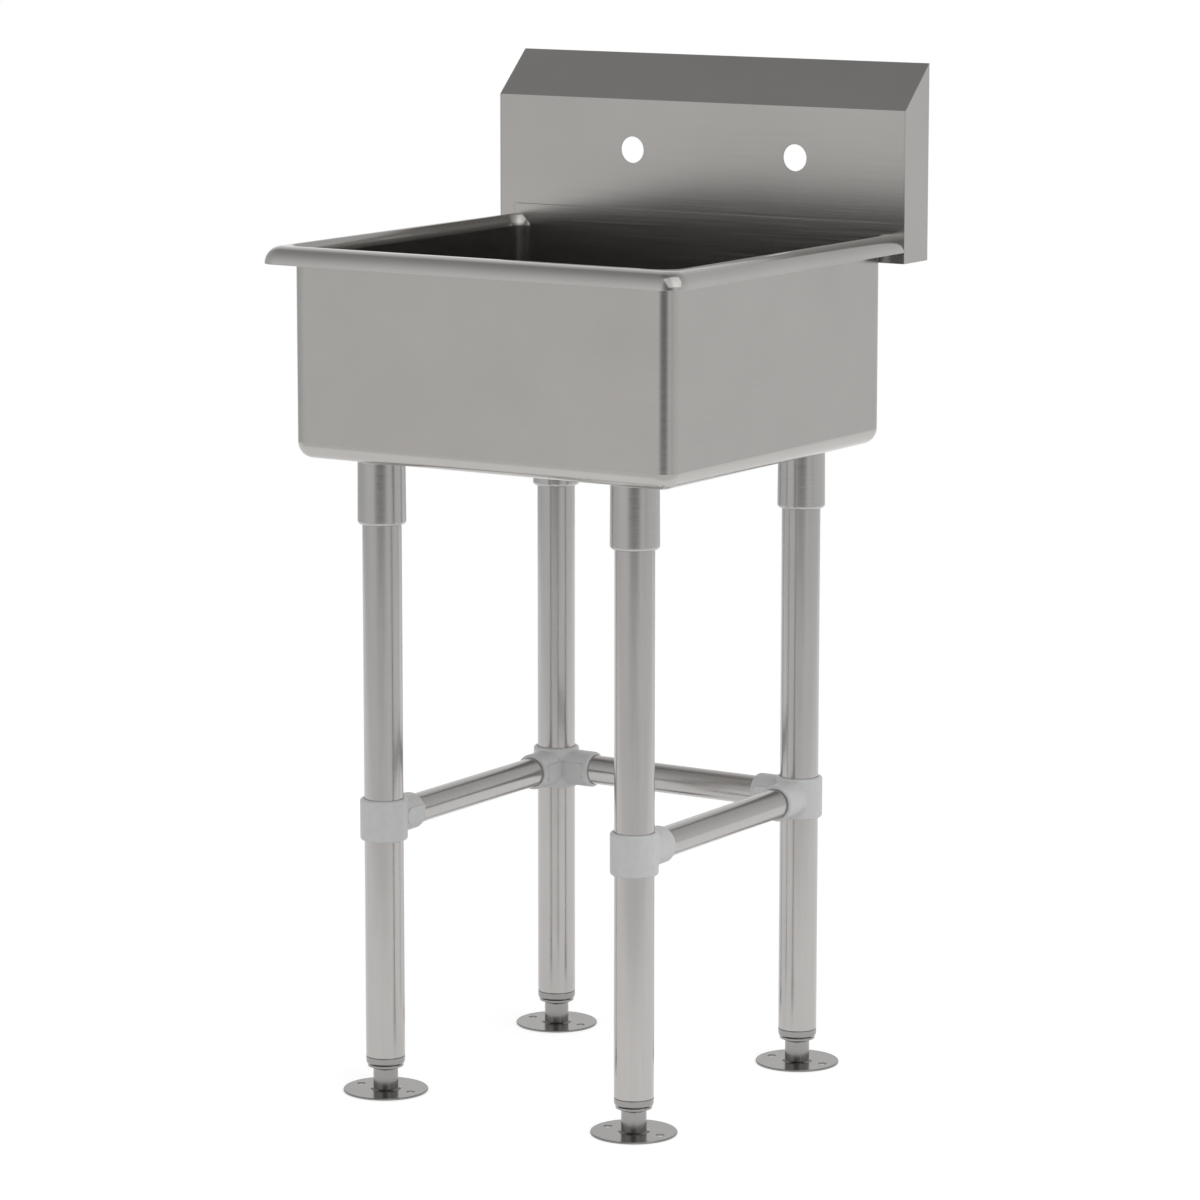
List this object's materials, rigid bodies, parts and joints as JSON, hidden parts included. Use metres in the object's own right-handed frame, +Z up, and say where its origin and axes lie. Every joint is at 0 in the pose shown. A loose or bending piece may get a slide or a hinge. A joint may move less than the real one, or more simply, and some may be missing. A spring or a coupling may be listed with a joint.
{
  "type": "freestanding hand sink",
  "caption": "Square steel hand sink with a rolled rim and tall sloped-top splash, on tubular legs with a three-sided brace and screw-down flanged feet.",
  "frame": {"origin": "on the floor, under the middle of the sink's overall width and depth", "axes": "X to the right as seen from the front, Y from the front lip to the wall, Z up"},
  "size_m": [0.508, 0.508, 1.0758],
  "materials": {
    "sheet": "satin stainless sheet, brushed along the width",
    "rim": "satin stainless, polished along the roll",
    "stiffener": "mill-finish steel strip",
    "socket": "satin steel, turned smooth",
    "tube": "satin stainless tube, brushed round",
    "foot": "bright turned steel",
    "flange": "bright pressed steel",
    "casting": "matte light grey casting, slightly mottled",
    "screw": "plain steel"
  },
  "bodies": {
    "sink": {"bowl": "sheet", "rolled_rim": "rim", "splash_panel": "sheet", "splash_end_left": "sheet", "splash_end_right": "sheet", "stiffener_front": "stiffener", "stiffener_rear": "stiffener", "leg_socket_front_left": "socket", "leg_socket_front_right": "socket", "leg_socket_rear_left": "socket", "leg_socket_rear_right": "socket", "socket_set_screws": "screw", "leg_front_left": "tube", "leg_front_right": "tube", "leg_rear_left": "tube", "leg_rear_right": "tube", "foot_insert_front_left": "foot", "foot_insert_front_right": "foot", "foot_insert_rear_left": "foot", "foot_insert_rear_right": "foot"},
    "brace": {"tee_front_left": "casting", "tee_front_right": "casting", "corner_rear_left": "casting", "corner_rear_right": "casting", "rail_left": "tube", "rail_right": "tube", "rail_rear": "tube", "brace_set_screws": "screw"},
    "flange_front_left": {"foot_flange_front_left": "flange"},
    "stem_front_left": {"foot_stem_front_left": "foot"},
    "flange_front_right": {"foot_flange_front_right": "flange"},
    "stem_front_right": {"foot_stem_front_right": "foot"},
    "flange_rear_left": {"foot_flange_rear_left": "flange"},
    "stem_rear_left": {"foot_stem_rear_left": "foot"},
    "flange_rear_right": {"foot_flange_rear_right": "flange"},
    "stem_rear_right": {"foot_stem_rear_right": "foot"}
  },
  "joints": [
    {"name": "brace_height", "type": "slide", "parent": "sink", "child": "brace", "axis": [0, 0, 1], "range_m": [-0.15, 0.25]},
    {"name": "foot_height_front_left", "type": "slide", "parent": "sink", "child": "flange_front_left", "axis": [0, 0, -1], "range_m": [0, 0.0254]},
    {"name": "stem_turn_front_left", "type": "hinge", "parent": "flange_front_left", "child": "stem_front_left", "pos_m": [-0.155, -0.1714, 0], "axis": [0, 0, -1], "range_deg": [0, 3960]},
    {"name": "foot_height_front_right", "type": "slide", "parent": "sink", "child": "flange_front_right", "axis": [0, 0, -1], "range_m": [0, 0.0254]},
    {"name": "stem_turn_front_right", "type": "hinge", "parent": "flange_front_right", "child": "stem_front_right", "pos_m": [0.155, -0.1714, 0], "axis": [0, 0, -1], "range_deg": [0, 3960]},
    {"name": "foot_height_rear_left", "type": "slide", "parent": "sink", "child": "flange_rear_left", "axis": [0, 0, -1], "range_m": [0, 0.0254]},
    {"name": "stem_turn_rear_left", "type": "hinge", "parent": "flange_rear_left", "child": "stem_rear_left", "pos_m": [-0.155, 0.1626, 0], "axis": [0, 0, -1], "range_deg": [0, 3960]},
    {"name": "foot_height_rear_right", "type": "slide", "parent": "sink", "child": "flange_rear_right", "axis": [0, 0, -1], "range_m": [0, 0.0254]},
    {"name": "stem_turn_rear_right", "type": "hinge", "parent": "flange_rear_right", "child": "stem_rear_right", "pos_m": [0.155, 0.1626, 0], "axis": [0, 0, -1], "range_deg": [0, 3960]}
  ],
  "couplings": [
    {"joint": "stem_turn_front_left", "follows": "foot_height_front_left", "rad_per_m": 2721},
    {"joint": "stem_turn_front_right", "follows": "foot_height_front_right", "rad_per_m": 2721},
    {"joint": "stem_turn_rear_left", "follows": "foot_height_rear_left", "rad_per_m": 2721},
    {"joint": "stem_turn_rear_right", "follows": "foot_height_rear_right", "rad_per_m": 2721}
  ]
}
